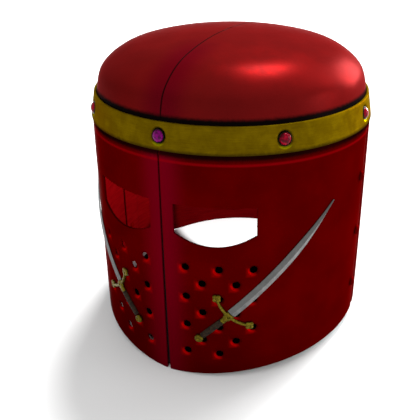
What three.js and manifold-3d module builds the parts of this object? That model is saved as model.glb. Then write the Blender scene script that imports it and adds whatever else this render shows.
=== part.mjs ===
// A round, closed great helm of enamelled steel plates, in millimetres, with +Z up.
//
// A domed crown is riveted into a barrel of three plates: two front plates that meet over
// a strap at the face, and one back plate that is lapped under them at the temples. A gilt
// band set with eight stones hides the joint of crown and barrel. Each cheek carries a
// sight opening, a field of breath holes and an applied sword.
//
// The pieces are laid out about the helm's own upright axis, with the face towards -Y and
// heights measured from the chin. Angles are degrees round the axis from the middle of the
// face, positive towards +X. At the end the whole helm leans back on its flat rear rim and
// its chin, as it stands on a table.

import * as THREE from 'three';
import { mergeVertices } from 'three/addons/utils/BufferGeometryUtils.js';
import Module from 'manifold-3d';

const wasm = await Module();
wasm.setup();

const { degToRad, lerp, clamp } = THREE.MathUtils;

// ---------------------------------------------------------------- driving dimensions

const FIT_GAP = 0.3;            // clearance between pieces that touch
const FACET_DEG = 6;            // one flat facet of the round walls
const TOOL_REACH = 20;          // how far a cutting tool runs past what it cuts
const LEAN_DEG = 6.35;          // how far the helm leans back as it stands

// barrel
const PLATE = 1.8;              // thickness of the barrel plates
const CHIN_RADIUS = 129.1;      // outer radius at the chin
const SHOULDER_RADIUS = 123.7;  // outer radius just under the band
const BARREL_SWELL = 0.45;      // how far the side bellies out of a straight line
const SHOULDER_HEIGHT = 206.8;  // where the plates turn in to pass under the band
const NECK_FOOT = 209.4;
const NECK_TOP = 226.4;
const BARREL_ROWS = 4;          // facets up the side between rim and shoulder
const RIM_LIFT = 9.3;           // how far the rim arches clear of the table at the cheeks
const CHIN_FOOT_DEG = 2;        // half of the chin that stands on the table
const HEEL_START_DEG = 125;     // beyond this the rim lies flat on the table

// joints of the plates
const SEAM_TOP_GAP = 1.3;       // gap between the front plates, under the band
const SEAM_CHIN_GAP = 3.2;      // and at the chin
const STRAP_HALF_DEG = 3.6;
const STRAP_THICKNESS = 1.6;
const STRAP_RISE = 3;           // the strap ends this far above the rim
const STRAP_TOP = 204;
const LAP_END_DEG = 93.2;       // rear edge of the front plates
const TONGUE_START_DEG = 85.5;  // front edge of the back plate, inside the front plates
const TONGUE_END_DEG = 94;
const JOGGLE_END_DEG = 96.6;    // the back plate is flush with the front from here

// crown
const CROWN_PLATE = 1.6;
const CROWN_RADIUS = 118.2;
const CROWN_FOOT = 229.8;
const JOGGLE_FOOT = 227.0;      // below this the crown is a skirt inside the barrel
const SKIRT_FOOT = 213.5;
const CROWN_OUTLINE = [         // radius and height up the outside, from foot to apex
  [CROWN_RADIUS, CROWN_FOOT], [111.9, 249.2], [92.6, 264.0], [67.5, 271.6], [34, 276.4], [0, 277.8],
];
const CROWN_STEPS = 7;          // facets from foot to apex

// gilt band
const BAND_FOOT = 209.9;
const BAND_TOP = 230.6;
const BAND_MIDDLE = (BAND_FOOT + BAND_TOP) / 2;
const BAND_FOOT_RADIUS = 124.4;
const BAND_TOP_RADIUS = 120.3;
const BAND_THICKNESS = 2.0;
const BAND_EASE = 0.4;          // small chamfer on its two outer edges

// stones and their settings
const STONE_COUNT = 8;
const STONE_RADIUS = 4.5;
const STONE_GIRDLE = 1.6;       // height of its straight side above the back of the bezel
const STONE_DOME = 2.9;
const BEZEL_RADIUS = 5.4;
const BEZEL_WALL = 0.6;
const BEZEL_FLOOR = 0.5;
const BEZEL_HEIGHT = 2.1;
const DISH_RADIUS = 7.3;        // mouth of the dished recess round each setting
const DISH_DEPTH = 1.3;
const SETTING_SIDES = 12;

// sight openings
const SIGHT_INNER_DEG = 4.9;
const SIGHT_OUTER_DEG = 35.6;
const SIGHT_TOP = 168;
const SIGHT_INNER_FOOT = 142.6;
const SIGHT_OUTER_FOOT = 143.6;
const SIGHT_BELLY = 133.5;      // lowest point of the lower edge

// breath holes
const BREATH_FIRST_DEG = 8.8;
const BREATH_STEP_DEG = 6.43;
const BREATH_TOP = 112.7;
const BREATH_PITCH = 14.3;
const BREATH_RADIUS = 3.2;
const BREATH_MOUTH_RADIUS = 4.9;
const BREATH_DISH = 1.1;        // depth of the dish round each hole
const BREATH_SIDES = 8;
const BREATH_COLUMNS = [[0, 2, 4, 6], [1, 3, 5], [0, 2, 4, 6], [1, 3, 5], [0, 2, 4]];

// side rivets
const RIVET_DEG = 89.3;
const RIVET_HEIGHTS = [165.7, 113.0, 57.1];
const RIVET_HEAD_RADIUS = 4.4;
const RIVET_HEAD_RISE = 2.6;
const RIVET_SHANK_RADIUS = 1.9;
const RIVET_TAIL_RADIUS = 3.0;
const RIVET_TAIL_RISE = 1.2;
const RIVET_SIDES = 10;

// applied sword, laid out flat: along the blade from the hub, across it, and off the wall
const SWORD_HUB_ARC = 55.7;     // hub of the guard: way round from the middle of the face
const SWORD_HUB_HEIGHT = 68.8;
const SWORD_ANGLE_DEG = 44.7;
const BLADE_START = 3.4;
const BLADE_TIP = 131.5;
const BLADE_HALF_WIDTH = 4.2;
const BLADE_TIP_HALF_WIDTH = 0.25;
const BLADE_TAPER_START = 0.55; // share of the blade that keeps its full width
const BLADE_EDGE = 0.7;
const BLADE_RIDGE = 1.7;
const QUILLON_REACH = 19.3;
const QUILLON_SWEEP = 5.5;
const QUILLON_HALF_WIDTH = 1.5;
const QUILLON_THICKNESS = 2.0;
const QUILLON_EDGE_DROP = 0.7;  // how much lower its edges are than its middle
const FOIL_OFFSET = 2.0;        // each quillon ends in a knob of four small round foils
const FOIL_RADIUS = 2.0;
const FOIL_THICKNESS = 1.8;
const HUB_HALF_LENGTH = 3.0;
const HUB_HALF_WIDTH = 3.6;
const HUB_THICKNESS = 2.4;
const COLLAR_END = -7.6;
const COLLAR_HALF_WIDTH = 2.5;
const GRIP_START = -7.9;
const GRIP_END = -31.2;
const GRIP_HALF_WIDTH = 2.9;
const GRIP_THICKNESS = 2.6;
const POMMEL_CENTRE = -35.4;
const POMMEL_RADIUS = 3.8;
const POMMEL_THICKNESS = 3.0;

// ------------------------------------------------------------------------- materials

const finish = (color, roughness, metalness) =>
  new THREE.MeshStandardMaterial({ color, roughness, metalness });

const redEnamel = () => finish(0x7c0407, 0.35, 0.1);
const darkSteel = () => finish(0x1c1a1a, 0.6, 0.9);
const giltBrass = () => finish(0x9a7b12, 0.38, 1.0);
const blackenedSilver = () => finish(0x2b2620, 0.5, 0.9);
const redStone = () => finish(0xb00028, 0.08, 0.0);
const magentaStone = () => finish(0x9a0078, 0.08, 0.0);
const swordSteel = () => finish(0x9a9a9a, 0.4, 1.0);
const hiltBrass = () => finish(0x77691f, 0.45, 1.0);
const gripLeather = () => finish(0x2a2014, 0.7, 0.0);

// ------------------------------------------------------------------- solids and meshes

function solidOf(geometry) {
  const bare = geometry.clone();
  bare.deleteAttribute('normal');
  bare.deleteAttribute('uv');
  const merged = mergeVertices(bare, 1e-4);
  const index = merged.index.array;
  const corners = [];
  for (let i = 0; i < index.length; i += 3) {
    const [a, b, c] = [index[i], index[i + 1], index[i + 2]];
    if (a !== b && b !== c && c !== a) corners.push(a, b, c);
  }
  const vertProperties = new Float32Array(merged.attributes.position.array);
  const triVerts = new Uint32Array(corners);
  return new wasm.Manifold(new wasm.Mesh({ numProp: 3, vertProperties, triVerts }));
}

function meshOf(name, solid, material) {
  const { vertProperties, triVerts } = solid.getMesh();
  const geometry = new THREE.BufferGeometry();
  geometry.setAttribute('position', new THREE.BufferAttribute(vertProperties, 3));
  geometry.setIndex(new THREE.BufferAttribute(triVerts, 1));
  geometry.computeVertexNormals();
  const mesh = new THREE.Mesh(geometry, material);
  mesh.name = name;
  return mesh;
}

// Moves every point of a geometry to where place(point) puts it.
function reshape(geometry, place) {
  const positions = geometry.attributes.position;
  const point = new THREE.Vector3();
  for (let i = 0; i < positions.count; i += 1) {
    point.fromBufferAttribute(positions, i);
    place(point);
    positions.setXYZ(i, point.x, point.y, point.z);
  }
  return geometry;
}

// A solid of revolution about +Z from [radius, height] pairs listed from bottom to top.
function turned(profile, segments) {
  const points = profile.map(([radius, height]) => new THREE.Vector2(radius, height));
  return new THREE.LatheGeometry(points, segments).rotateX(Math.PI / 2);
}

function onWall(angleDeg, radius, height) {
  const angle = degToRad(angleDeg);
  return new THREE.Vector3(radius * Math.sin(angle), -radius * Math.cos(angle), height);
}

// Turns a tool made about +Z so that it points out of the wall at this angle and height.
function aimed(geometry, angleDeg, radius, height, tilt = 0) {
  geometry.rotateX(Math.PI / 2 - tilt);
  geometry.translate(0, -radius, height);
  geometry.rotateZ(degToRad(angleDeg));
  return geometry;
}

// --------------------------------------------------------------------- helm's own form

const bandSlope = (BAND_FOOT_RADIUS - BAND_TOP_RADIUS) / (BAND_TOP - BAND_FOOT);
const bandTilt = Math.atan(bandSlope);
const rimSlope = Math.tan(degToRad(LEAN_DEG));

const bandOuter = (height) => BAND_FOOT_RADIUS - bandSlope * (height - BAND_FOOT);
const bandInner = (height) => bandOuter(height) - BAND_THICKNESS;
const neckOuter = (height) => bandInner(height) - FIT_GAP;
const skirtOuter = (height) => neckOuter(height) - PLATE - FIT_GAP;

function barrelRadius(height) {
  const drop = (SHOULDER_HEIGHT - height) / SHOULDER_HEIGHT;
  const swell = 4 * BARREL_SWELL * drop * (1 - drop);
  return lerp(SHOULDER_RADIUS, CHIN_RADIUS, drop) + swell;
}

// Height of the rim: the plane of the table under the leaning helm, arched at the cheeks.
function rimHeight(angle, depth) {
  const fromFront = Math.abs(THREE.MathUtils.radToDeg(angle));
  const along = (fromFront - CHIN_FOOT_DEG) / (HEEL_START_DEG - CHIN_FOOT_DEG);
  const arch = RIM_LIFT * Math.sin(Math.PI * clamp(along, 0, 1));
  let height = arch;
  for (let pass = 0; pass < 6; pass += 1) {
    const y = -(barrelRadius(height) - depth) * Math.cos(angle);
    height = rimSlope * (y + CHIN_RADIUS) + arch;
  }
  return height;
}

// Angles from one end to the other, taking in every whole facet line between them.
function facetAngles(fromDeg, toDeg, extra = []) {
  const angles = [fromDeg, toDeg, ...extra];
  for (let line = Math.ceil(fromDeg / FACET_DEG); line * FACET_DEG < toDeg; line += 1) {
    angles.push(line * FACET_DEG);
  }
  const sorted = [...new Set(angles)].sort((a, b) => a - b);
  const tooNear = 0.2;
  return sorted.filter((angle, i) => i === 0 || angle - sorted[i - 1] > tooNear);
}

// The plan of a curved wall, its outer face `depthAt` inside the barrel's outer radius.
function wallPlan(angles, thickness, depthAt) {
  const rim = (extra) => angles.map((angle) => onWall(angle, CHIN_RADIUS - depthAt(angle) - extra, 0));
  const outline = [...rim(0), ...rim(thickness).reverse()];
  return new THREE.Shape(outline.map(({ x, y }) => new THREE.Vector2(x, y)));
}

// A barrel wall: its plan is drawn up from the rim, and every level takes the barrel's radius.
function barrelWall(plan, levels, footRise = 0) {
  const steps = levels.length + BARREL_ROWS - 1;
  const geometry = new THREE.ExtrudeGeometry(plan, { depth: steps, steps, bevelEnabled: false });
  return reshape(geometry, (point) => {
    const row = Math.round(point.z);
    const depth = CHIN_RADIUS - Math.hypot(point.x, point.y);
    const angle = Math.atan2(point.x, -point.y);
    const rim = rimHeight(angle, depth) + footRise;
    const [first] = levels;
    const onBarrel = lerp(rim, first.height, Math.min(row / BARREL_ROWS, 1));
    const level = levels[Math.max(row - BARREL_ROWS, 0)];
    const height = row < BARREL_ROWS ? onBarrel : level.height;
    const outer = row < BARREL_ROWS ? barrelRadius(height) : level.radius;
    const radius = outer - depth;
    point.set(radius * Math.sin(angle), -radius * Math.cos(angle), height);
  });
}

const plateLevels = () => [
  { height: SHOULDER_HEIGHT, radius: SHOULDER_RADIUS },
  { height: NECK_FOOT, radius: neckOuter(NECK_FOOT) },
  { height: NECK_TOP, radius: neckOuter(NECK_TOP) },
];

// ---------------------------------------------------------------------- cutting tools

// A wedge that parts the two front plates and widens towards the chin.
function seamTool() {
  const below = -TOOL_REACH;
  const above = NECK_TOP + TOOL_REACH;
  const halfGap = (height) => lerp(SEAM_CHIN_GAP, SEAM_TOP_GAP, height / SHOULDER_HEIGHT) / 2;
  const shape = new THREE.Shape([
    new THREE.Vector2(-halfGap(below), below),
    new THREE.Vector2(halfGap(below), below),
    new THREE.Vector2(halfGap(above), above),
    new THREE.Vector2(-halfGap(above), above),
  ]);
  const depth = CHIN_RADIUS + TOOL_REACH;
  const geometry = new THREE.ExtrudeGeometry(shape, { depth, bevelEnabled: false });
  return solidOf(geometry.rotateX(Math.PI / 2));
}

function sightTool(side) {
  const middle = (SIGHT_INNER_DEG + SIGHT_OUTER_DEG) / 2;
  const wall = barrelRadius(SIGHT_BELLY);
  const reach = wall * Math.sin(degToRad(SIGHT_OUTER_DEG - middle));
  const control = 2 * SIGHT_BELLY - (SIGHT_INNER_FOOT + SIGHT_OUTER_FOOT) / 2;
  const shape = new THREE.Shape();
  shape.moveTo(-reach, SIGHT_TOP);
  shape.lineTo(-reach, SIGHT_INNER_FOOT);
  shape.quadraticCurveTo(0, control, reach, SIGHT_OUTER_FOOT);
  shape.lineTo(reach, SIGHT_TOP);
  const depth = 3 * TOOL_REACH;
  const geometry = new THREE.ExtrudeGeometry(shape, { depth, curveSegments: 10, bevelEnabled: false });
  geometry.rotateX(Math.PI / 2);
  geometry.translate(0, -wall + depth / 2, 0);
  geometry.rotateZ(degToRad(middle));
  return side > 0 ? solidOf(geometry) : solidOf(geometry).mirror([1, 0, 0]);
}

// Outline of a drill for a round hole that widens into a dish at the surface.
function dishedHole(radius, mouthRadius, dishDepth) {
  const above = 1;
  const flare = above * (mouthRadius - radius) / dishDepth;
  return [
    [0, -TOOL_REACH / 2],
    [radius, -TOOL_REACH / 2],
    [radius, -dishDepth],
    [mouthRadius + flare, above],
    [0, above],
  ];
}

function breathTool(angleDeg, height) {
  const profile = dishedHole(BREATH_RADIUS, BREATH_MOUTH_RADIUS, BREATH_DISH);
  return solidOf(aimed(turned(profile, BREATH_SIDES), angleDeg, barrelRadius(height), height));
}

function breathTools(side) {
  return BREATH_COLUMNS.flatMap((rows, column) => rows.map((row) => {
    const angle = BREATH_FIRST_DEG + BREATH_STEP_DEG * column;
    return breathTool(side * angle, BREATH_TOP - BREATH_PITCH * row);
  }));
}

// Clears the tongue of the back plate away where the skirt of the crown passes inside it.
function tongueTool(side) {
  const rearEdge = onWall(JOGGLE_END_DEG, CHIN_RADIUS, 0).y;
  const foot = SKIRT_FOOT - 1;
  const size = 2 * TOOL_REACH;
  const block = new THREE.BoxGeometry(size, 2 * rearEdge, size);
  block.translate(side * CHIN_RADIUS, 0, foot + size / 2);
  return solidOf(block);
}

function rivetHoleTools(side) {
  const radius = RIVET_SHANK_RADIUS + FIT_GAP;
  const reach = TOOL_REACH / 2;
  const profile = [[0, -reach], [radius, -reach], [radius, reach], [0, reach]];
  return RIVET_HEIGHTS.map((height) =>
    solidOf(aimed(turned(profile, RIVET_SIDES), side * RIVET_DEG, barrelRadius(height), height)));
}

// A through hole for a setting, opening into a shallow dish on the outside of the band.
function settingTool(angleDeg) {
  const profile = dishedHole(BEZEL_RADIUS + FIT_GAP, DISH_RADIUS, DISH_DEPTH);
  const drill = turned(profile, SETTING_SIDES);
  return solidOf(aimed(drill, angleDeg, bandOuter(BAND_MIDDLE), BAND_MIDDLE, bandTilt));
}

const cut = (solid, tools) => tools.reduce((left, tool) => left.subtract(tool), solid);

// ------------------------------------------------------------------------ helm pieces

function crownSolid() {
  const curve = new THREE.SplineCurve(CROWN_OUTLINE.map(([r, h]) => new THREE.Vector2(r, h)));
  const dome = [];
  for (let i = 0; i <= CROWN_STEPS; i += 1) {
    const point = curve.getPoint(i / CROWN_STEPS);
    const along = curve.getTangent(i / CROWN_STEPS);
    const atApex = i === CROWN_STEPS;
    const inward = atApex ? new THREE.Vector2(0, -1) : new THREE.Vector2(-along.y, along.x);
    dome.push({ outer: point, inner: point.clone().addScaledVector(inward, CROWN_PLATE) });
  }
  const skirt = [SKIRT_FOOT, JOGGLE_FOOT].map((height) => [skirtOuter(height), height]);
  const outside = [...skirt, ...dome.map(({ outer }) => [outer.x, outer.y])];
  const inside = [
    ...dome.slice(1).reverse().map(({ inner }) => [Math.max(inner.x, 0), inner.y]),
    [CROWN_RADIUS - CROWN_PLATE, CROWN_FOOT],
    ...skirt.reverse().map(([radius, height]) => [radius - CROWN_PLATE, height]),
  ];
  return solidOf(turned([...inside, ...outside], 360 / FACET_DEG));
}

function frontPlateSolid(side) {
  const ends = side > 0 ? [0, LAP_END_DEG] : [-LAP_END_DEG, 0];
  const plan = wallPlan(facetAngles(...ends, [side * CHIN_FOOT_DEG]), PLATE, () => 0);
  const wall = solidOf(barrelWall(plan, plateLevels()));
  return cut(wall, [seamTool(), sightTool(side), ...breathTools(side), ...rivetHoleTools(side)]);
}

// The back plate steps in by its own thickness to pass under the front plates.
function backPlateSolid() {
  const stepIn = PLATE + FIT_GAP;
  const depthAt = (angle) => {
    const fromFront = Math.min(angle, 360 - angle);
    return stepIn * (1 - clamp((fromFront - TONGUE_END_DEG) / (JOGGLE_END_DEG - TONGUE_END_DEG), 0, 1));
  };
  const bends = [TONGUE_END_DEG, JOGGLE_END_DEG].flatMap((angle) => [angle, 360 - angle]);
  const angles = facetAngles(TONGUE_START_DEG, 360 - TONGUE_START_DEG, bends);
  const wall = solidOf(barrelWall(wallPlan(angles, PLATE, depthAt), plateLevels()));
  return cut(wall, [1, -1].flatMap((side) => [tongueTool(side), ...rivetHoleTools(side)]));
}

function seamStrapSolid() {
  const angles = [-STRAP_HALF_DEG, 0, STRAP_HALF_DEG];
  const plan = wallPlan(angles, STRAP_THICKNESS, () => PLATE + FIT_GAP);
  const levels = [{ height: STRAP_TOP, radius: barrelRadius(STRAP_TOP) }];
  return solidOf(barrelWall(plan, levels, STRAP_RISE));
}

function browBandSolid() {
  const profile = [
    [bandInner(BAND_FOOT), BAND_FOOT],
    [bandOuter(BAND_FOOT) - BAND_EASE, BAND_FOOT],
    [bandOuter(BAND_FOOT + BAND_EASE), BAND_FOOT + BAND_EASE],
    [bandOuter(BAND_TOP - BAND_EASE), BAND_TOP - BAND_EASE],
    [bandOuter(BAND_TOP) - BAND_EASE, BAND_TOP],
    [bandInner(BAND_TOP), BAND_TOP],
    [bandInner(BAND_FOOT), BAND_FOOT],
  ];
  const ring = solidOf(turned(profile, 360 / FACET_DEG));
  const angles = Array.from({ length: STONE_COUNT }, (_, i) => i * 360 / STONE_COUNT);
  return cut(ring, angles.map(settingTool));
}

function bezelSolid() {
  const bore = BEZEL_RADIUS - BEZEL_WALL;
  return solidOf(turned([
    [0, 0],
    [BEZEL_RADIUS, 0],
    [BEZEL_RADIUS, BEZEL_HEIGHT - BEZEL_WALL / 2],
    [BEZEL_RADIUS - BEZEL_WALL / 2, BEZEL_HEIGHT],
    [bore, BEZEL_HEIGHT],
    [bore, BEZEL_FLOOR],
    [0, BEZEL_FLOOR],
  ], SETTING_SIDES));
}

// The outline of a dome from its foot up to its top on the axis.
function domeOutline(radius, rise, foot) {
  const steps = 4;
  const outline = [];
  for (let i = 0; i < steps; i += 1) {
    const turn = (i / steps) * Math.PI / 2;
    outline.push([radius * Math.cos(turn), foot + rise * Math.sin(turn)]);
  }
  return [...outline, [0, foot + rise]];
}

// A cabochon: a short straight girdle in the cup, and a low dome above it.
function stoneSolid() {
  const foot = BEZEL_FLOOR + FIT_GAP;
  const dome = domeOutline(STONE_RADIUS, STONE_DOME, STONE_GIRDLE);
  return solidOf(turned([[0, foot], [STONE_RADIUS, foot], ...dome], SETTING_SIDES));
}

// A rivet through both plates: a dome outside and a peened tail inside.
function rivetSolid() {
  const seat = FIT_GAP;
  const tailSeat = -2 * PLATE - 2 * FIT_GAP;
  const profile = [
    [0, tailSeat - RIVET_TAIL_RISE],
    [RIVET_TAIL_RADIUS * 0.7, tailSeat - RIVET_TAIL_RISE],
    [RIVET_TAIL_RADIUS, tailSeat],
    [RIVET_SHANK_RADIUS, tailSeat],
    [RIVET_SHANK_RADIUS, seat],
    ...domeOutline(RIVET_HEAD_RADIUS, RIVET_HEAD_RISE, seat),
  ];
  return solidOf(turned(profile, RIVET_SIDES));
}

// ----------------------------------------------------------------------- applied sword

// Wraps a flat piece round a cheek. Before: x along the blade from the hub, y across it
// and z off the wall. After: the same piece standing a hair proud of the barrel.
function wrapped(geometry) {
  const turn = degToRad(SWORD_ANGLE_DEG);
  const cheekRadius = barrelRadius(SIGHT_BELLY - 25);
  reshape(geometry, (point) => {
    const arc = SWORD_HUB_ARC + point.x * Math.cos(turn) - point.y * Math.sin(turn);
    const height = SWORD_HUB_HEIGHT + point.x * Math.sin(turn) + point.y * Math.cos(turn);
    const radius = barrelRadius(height) + FIT_GAP + point.z;
    const angle = arc / cheekRadius;
    point.set(radius * Math.sin(angle), -radius * Math.cos(angle), height);
  });
  return solidOf(geometry);
}

// A bar on the wall from one distance along to another, its section set by halfWidth(t)
// and by thickness(across), with across running from -1 at one edge to 1 at the other.
function flatBar(from, to, segments, columns, centre, halfWidth, thickness) {
  const bar = new THREE.BoxGeometry(1, 2, 1, segments, columns, 1);
  return reshape(bar, (point) => {
    const t = point.x + 0.5;
    const across = point.y;
    const off = point.z > 0 ? thickness(across) : 0;
    point.set(lerp(from, to, t), centre(t) + across * halfWidth(t), off);
  });
}

function bladeSolid() {
  const halfWidth = (t) => {
    const towardsTip = clamp((t - BLADE_TAPER_START) / (1 - BLADE_TAPER_START), 0, 1);
    return lerp(BLADE_HALF_WIDTH, BLADE_TIP_HALF_WIDTH, towardsTip ** 1.6);
  };
  const thickness = (across) => lerp(BLADE_RIDGE, BLADE_EDGE, Math.abs(across));
  return wrapped(flatBar(BLADE_START, BLADE_TIP, 24, 2, () => 0, halfWidth, thickness));
}

// A flat knob of four round foils, each meeting the next on the diagonal.
function quatrefoil() {
  const shape = new THREE.Shape();
  for (let i = 0; i < 4; i += 1) {
    const out = i * Math.PI / 2;
    const centre = [FOIL_OFFSET * Math.cos(out), FOIL_OFFSET * Math.sin(out)];
    shape.absarc(...centre, FOIL_RADIUS, out - Math.PI / 2, out + Math.PI / 2, false);
  }
  const options = { depth: FOIL_THICKNESS, curveSegments: 4, bevelEnabled: false };
  return new THREE.ExtrudeGeometry(shape, options);
}

// One quillon bar with its knob; side is 1 or -1 across the blade.
function quillonSolids(side) {
  const sweep = (t) => QUILLON_SWEEP * t * t;
  const arm = flatBar(0, QUILLON_REACH, 6, 2, sweep, () => QUILLON_HALF_WIDTH,
    (across) => QUILLON_THICKNESS - QUILLON_EDGE_DROP * Math.abs(across));
  reshape(arm, (point) => point.set(point.y, side * point.x, point.z));
  if (side > 0) arm.index.array.reverse();
  return [wrapped(arm), wrapped(quatrefoil().translate(QUILLON_SWEEP, side * QUILLON_REACH, 0))];
}

function guardSolid() {
  const rounded = (across) => HUB_THICKNESS - QUILLON_EDGE_DROP * Math.abs(across);
  const hub = flatBar(-HUB_HALF_LENGTH, HUB_HALF_LENGTH, 2, 2, () => 0, () => HUB_HALF_WIDTH, rounded);
  const collar = flatBar(COLLAR_END, 0, 2, 2, () => 0, () => COLLAR_HALF_WIDTH, rounded);
  const pieces = [wrapped(collar), ...quillonSolids(1), ...quillonSolids(-1)];
  return pieces.reduce((left, piece) => left.add(piece), wrapped(hub));
}

function gripSolid() {
  const round = (across) => GRIP_THICKNESS * Math.sqrt(1 - 0.85 * across * across);
  return wrapped(flatBar(GRIP_END, GRIP_START, 6, 4, () => 0, () => GRIP_HALF_WIDTH, round));
}

function pommelSolid() {
  const ball = new THREE.SphereGeometry(POMMEL_RADIUS, 10, 6);
  ball.scale(1, 1, POMMEL_THICKNESS / 2 / POMMEL_RADIUS);
  ball.translate(POMMEL_CENTRE, 0, POMMEL_THICKNESS / 2);
  return wrapped(ball);
}

// -------------------------------------------------------------------------- assembly

function addSword(helm, label, side) {
  const pieces = [
    ['blade', bladeSolid(), swordSteel()],
    ['guard', guardSolid(), hiltBrass()],
    ['grip', gripSolid(), gripLeather()],
    ['pommel', pommelSolid(), hiltBrass()],
  ];
  for (const [piece, solid, material] of pieces) {
    const placed = side > 0 ? solid : solid.mirror([1, 0, 0]);
    helm.add(meshOf(`sword_${piece}_${label}`, placed, material));
  }
}

function addStones(helm) {
  const depth = BAND_THICKNESS * Math.cos(bandTilt);
  const seatRadius = bandOuter(BAND_MIDDLE) - depth * Math.cos(bandTilt);
  const seatHeight = BAND_MIDDLE - depth * Math.sin(bandTilt);
  for (let i = 0; i < STONE_COUNT; i += 1) {
    const setting = new THREE.Group();
    const bezel = meshOf(`bezel_${i + 1}`, bezelSolid(), blackenedSilver());
    const stone = meshOf(`stone_${i + 1}`, stoneSolid(), i === 0 ? magentaStone() : redStone());
    setting.rotation.z = i * 2 * Math.PI / STONE_COUNT;
    for (const piece of [bezel, stone]) {
      piece.position.set(0, -seatRadius, seatHeight);
      piece.rotation.x = Math.PI / 2 - bandTilt;
      setting.add(piece);
    }
    helm.add(setting);
  }
}

function addRivets(helm, label, side) {
  RIVET_HEIGHTS.forEach((height, i) => {
    const place = new THREE.Group();
    const rivet = meshOf(`side_rivet_${label}_${i + 1}`, rivetSolid(), redEnamel());
    place.rotation.z = degToRad(side * RIVET_DEG);
    rivet.position.set(0, -barrelRadius(height), height);
    rivet.rotation.x = Math.PI / 2;
    place.add(rivet);
    helm.add(place);
  });
}

// Leans the helm back until chin and rear rim share the table, then centres it on the origin.
function stood(helm) {
  const lean = degToRad(LEAN_DEG);
  helm.rotation.x = -lean;
  helm.position.z = -CHIN_RADIUS * Math.sin(lean);
  const standing = new THREE.Group();
  standing.add(helm);
  standing.updateMatrixWorld(true);
  const middle = new THREE.Box3().setFromObject(standing, true).getCenter(new THREE.Vector3());
  helm.position.y = -middle.y;
  return standing;
}

const helm = new THREE.Group();
helm.add(meshOf('crown', crownSolid(), redEnamel()));
helm.add(meshOf('brow_band', browBandSolid(), giltBrass()));
helm.add(meshOf('back_plate', backPlateSolid(), redEnamel()));
helm.add(meshOf('seam_strap', seamStrapSolid(), darkSteel()));
addStones(helm);
for (const [label, side] of [['left', 1], ['right', -1]]) {
  helm.add(meshOf(`front_plate_${label}`, frontPlateSolid(side), redEnamel()));
  addRivets(helm, label, side);
  addSword(helm, label, side);
}

export default stood(helm);
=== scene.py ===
# %% [markdown]
# # A round great helm of red enamelled steel
# The helm is a barrel of three steel plates under a raised dome, with a gilt band over their
# joint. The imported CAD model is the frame: it gives the true sizes, and each of its faceted
# parts is replaced here by a smooth, detailed piece of the same size in the same place.
# The helm leans back a little as it stands, so every piece is made upright, about the
# helm's own axis with the face towards -Y, and is leaned over at the end.

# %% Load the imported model
import math

import bmesh
import bpy
from mathutils import Matrix, Vector


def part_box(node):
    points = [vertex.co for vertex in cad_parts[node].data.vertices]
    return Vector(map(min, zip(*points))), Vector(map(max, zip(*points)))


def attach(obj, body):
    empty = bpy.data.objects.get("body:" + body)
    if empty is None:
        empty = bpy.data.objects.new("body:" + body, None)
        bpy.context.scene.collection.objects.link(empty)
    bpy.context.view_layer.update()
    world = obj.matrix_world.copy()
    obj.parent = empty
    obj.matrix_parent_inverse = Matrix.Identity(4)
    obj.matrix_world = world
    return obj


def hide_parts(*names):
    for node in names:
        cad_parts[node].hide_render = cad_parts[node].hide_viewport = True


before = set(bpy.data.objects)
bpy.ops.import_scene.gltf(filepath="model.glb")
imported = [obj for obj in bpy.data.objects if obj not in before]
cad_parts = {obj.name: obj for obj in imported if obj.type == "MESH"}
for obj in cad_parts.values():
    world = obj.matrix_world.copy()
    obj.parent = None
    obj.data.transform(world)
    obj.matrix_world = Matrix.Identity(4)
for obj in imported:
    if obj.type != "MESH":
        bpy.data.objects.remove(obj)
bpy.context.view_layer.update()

# %% [markdown]
# ## The helm's own measures
# Heights are in millimetres above the chin, and angles in degrees round the axis from the
# middle of the face. These are the driving dimensions of the CAD model. Where the model
# stands in the frame is read from it: the chin is the foremost point of the front plates.

# %% Driving dimensions
MM = 0.001
FIT_GAP = 0.3
PLATE = 1.8
LEAN = math.radians(6.35)
CHIN_RADIUS = 129.1
SHOULDER_RADIUS = 123.7
SHOULDER_HEIGHT = 206.8
BARREL_SWELL = 0.45
NECK_FOOT = 209.4
NECK_TOP = 226.4
RIM_LIFT = 9.3
CHIN_FOOT_DEG = 2.0
HEEL_START_DEG = 125.0
BAND_FOOT = 209.9
BAND_TOP = 230.6
BAND_FOOT_RADIUS = 124.4
BAND_TOP_RADIUS = 120.3
BAND_THICKNESS = 2.0
BAND_SLOPE = (BAND_FOOT_RADIUS - BAND_TOP_RADIUS) / (BAND_TOP - BAND_FOOT)
BAND_TILT = math.atan(BAND_SLOPE)
BAND_MIDDLE = (BAND_FOOT + BAND_TOP) / 2

chin_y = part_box("front_plate_left")[0].y
place = Vector((0, chin_y + CHIN_RADIUS * MM * math.cos(LEAN), -CHIN_RADIUS * MM * math.sin(LEAN)))
leaned = Matrix.Translation(place) @ Matrix.Rotation(-LEAN, 4, "X")
upright = leaned.inverted()
print("the helm's axis meets its chin plane at", [round(v / MM, 2) for v in place])


# %% The forms of barrel and band
def blend_between(a, b, t):
    return a + (b - a) * t


def clamped(value, low=0.0, high=1.0):
    return max(low, min(high, value))


def barrel_radius(height):
    drop = (SHOULDER_HEIGHT - height) / SHOULDER_HEIGHT
    swell = 4 * BARREL_SWELL * drop * (1 - drop)
    return blend_between(SHOULDER_RADIUS, CHIN_RADIUS, drop) + swell


def band_outer(height):
    return BAND_FOOT_RADIUS - BAND_SLOPE * (height - BAND_FOOT)


def neck_outer(height):
    return band_outer(height) - BAND_THICKNESS - FIT_GAP


def skirt_outer(height):
    return neck_outer(height) - PLATE - FIT_GAP


def wall_radius(height):
    if height <= SHOULDER_HEIGHT:
        return barrel_radius(height)
    if height < NECK_FOOT:
        turn_in = (height - SHOULDER_HEIGHT) / (NECK_FOOT - SHOULDER_HEIGHT)
        return blend_between(SHOULDER_RADIUS, neck_outer(NECK_FOOT), turn_in)
    return neck_outer(height)


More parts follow.
